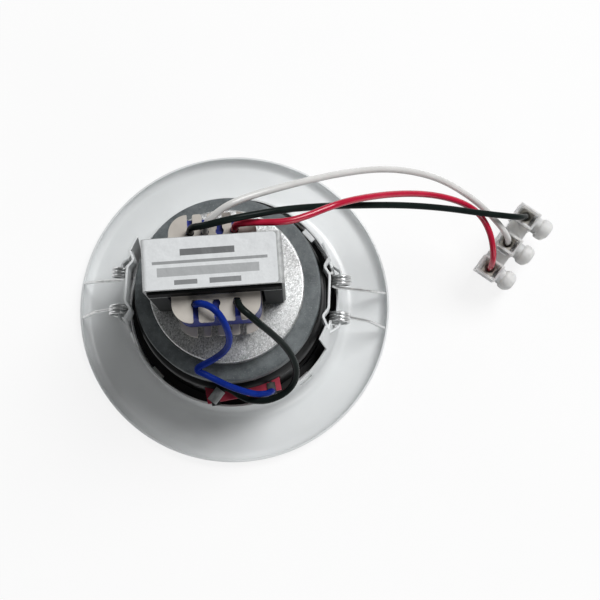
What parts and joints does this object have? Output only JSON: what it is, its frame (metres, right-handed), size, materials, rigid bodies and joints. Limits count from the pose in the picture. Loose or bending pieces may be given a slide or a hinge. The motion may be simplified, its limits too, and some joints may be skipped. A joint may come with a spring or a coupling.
{
  "type": "in-ceiling speaker",
  "caption": "Round in-ceiling speaker with white pressed trim, clip springs, ferrite driver, strapped line transformer and terminal strip on flying leads.",
  "frame": {"origin": "centre of the flange's front face, which lies on the table", "axes": "+Z from the front face to the back of the driver, X through the two ears"},
  "size_m": [0.1905, 0.1264, 0.0889],
  "materials": {
    "white_enamel": "gloss",
    "black_steel": "satin",
    "foam": "matte",
    "surround_rubber": "matte",
    "cone_paper": "matte",
    "spider_cloth": "matte",
    "former_paper": "matte",
    "copper": "satin",
    "zinc": "speckled zinc",
    "ferrite": "matte",
    "red_board": "matte",
    "tinned": "satin",
    "grey_shrink": "matte",
    "lamination": "varnished",
    "cream": "matte",
    "blue_tape": "gloss",
    "strap_steel": "bright",
    "sticker": "matte",
    "white_pvc": "gloss",
    "black_pvc": "gloss",
    "red_pvc": "gloss",
    "blue_pvc": "gloss",
    "milky": "translucent",
    "clamp_steel": "satin",
    "spring_wire": "bright"
  },
  "bodies": {
    "base": {"trim_housing": "white_enamel", "front_grille": "white_enamel", "gasket": "foam", "basket": "black_steel", "surround": "surround_rubber", "spider": "spider_cloth", "top_plate": "zinc", "ferrite_magnet": "ferrite", "back_plate": "zinc", "tag_board": "red_board", "tag_rivets": "tinned", "solder_tags": "tinned", "tag_sleeve": "grey_shrink", "tinsel_leads": "copper", "core_e": "lamination", "core_i": "lamination", "bobbin": "cream", "winding": "blue_tape", "tape_wrap": "blue_tape", "transformer_bracket": "strap_steel", "label": "sticker", "white_lead": "white_pvc", "black_lead": "black_pvc", "red_lead": "red_pvc", "blue_speaker_lead": "blue_pvc", "black_speaker_lead": "black_pvc", "terminal_housing": "milky", "terminal_inserts": "clamp_steel", "terminal_screws": "tinned"},
    "cone_assembly": {"cone": "cone_paper", "dust_cap": "cone_paper", "coil_former": "former_paper", "voice_coil": "copper"},
    "left_rear_spring": {"left_rear_spring": "spring_wire"},
    "left_front_spring": {"left_front_spring": "spring_wire"},
    "right_rear_spring": {"right_rear_spring": "spring_wire"},
    "right_front_spring": {"right_front_spring": "spring_wire"}
  },
  "joints": [
    {"name": "cone_travel", "type": "slide", "parent": "base", "child": "cone_assembly", "axis": [0, 0, 1], "range_m": [-0.0015, 0.0015], "stiffness_N_per_m": 1400, "deforming": ["surround", "spider", "tinsel_leads"]},
    {"name": "left_rear_fold", "type": "hinge", "parent": "base", "child": "left_rear_spring", "pos_m": [-0.0422, 0.00735, 0.028], "axis": [0, 1, 0], "range_deg": [0, 130], "stiffness_Nm_per_rad": 0.03, "springref_deg": -22.92},
    {"name": "left_front_fold", "type": "hinge", "parent": "base", "child": "left_front_spring", "pos_m": [-0.0422, -0.00735, 0.028], "axis": [0, 1, 0], "range_deg": [0, 130], "stiffness_Nm_per_rad": 0.03, "springref_deg": -22.92},
    {"name": "right_rear_fold", "type": "hinge", "parent": "base", "child": "right_rear_spring", "pos_m": [0.0422, 0.00735, 0.028], "axis": [0, -1, 0], "range_deg": [0, 130], "stiffness_Nm_per_rad": 0.03, "springref_deg": -22.92},
    {"name": "right_front_fold", "type": "hinge", "parent": "base", "child": "right_front_spring", "pos_m": [0.0422, -0.00735, 0.028], "axis": [0, -1, 0], "range_deg": [0, 130], "stiffness_Nm_per_rad": 0.03, "springref_deg": -22.92}
  ]
}
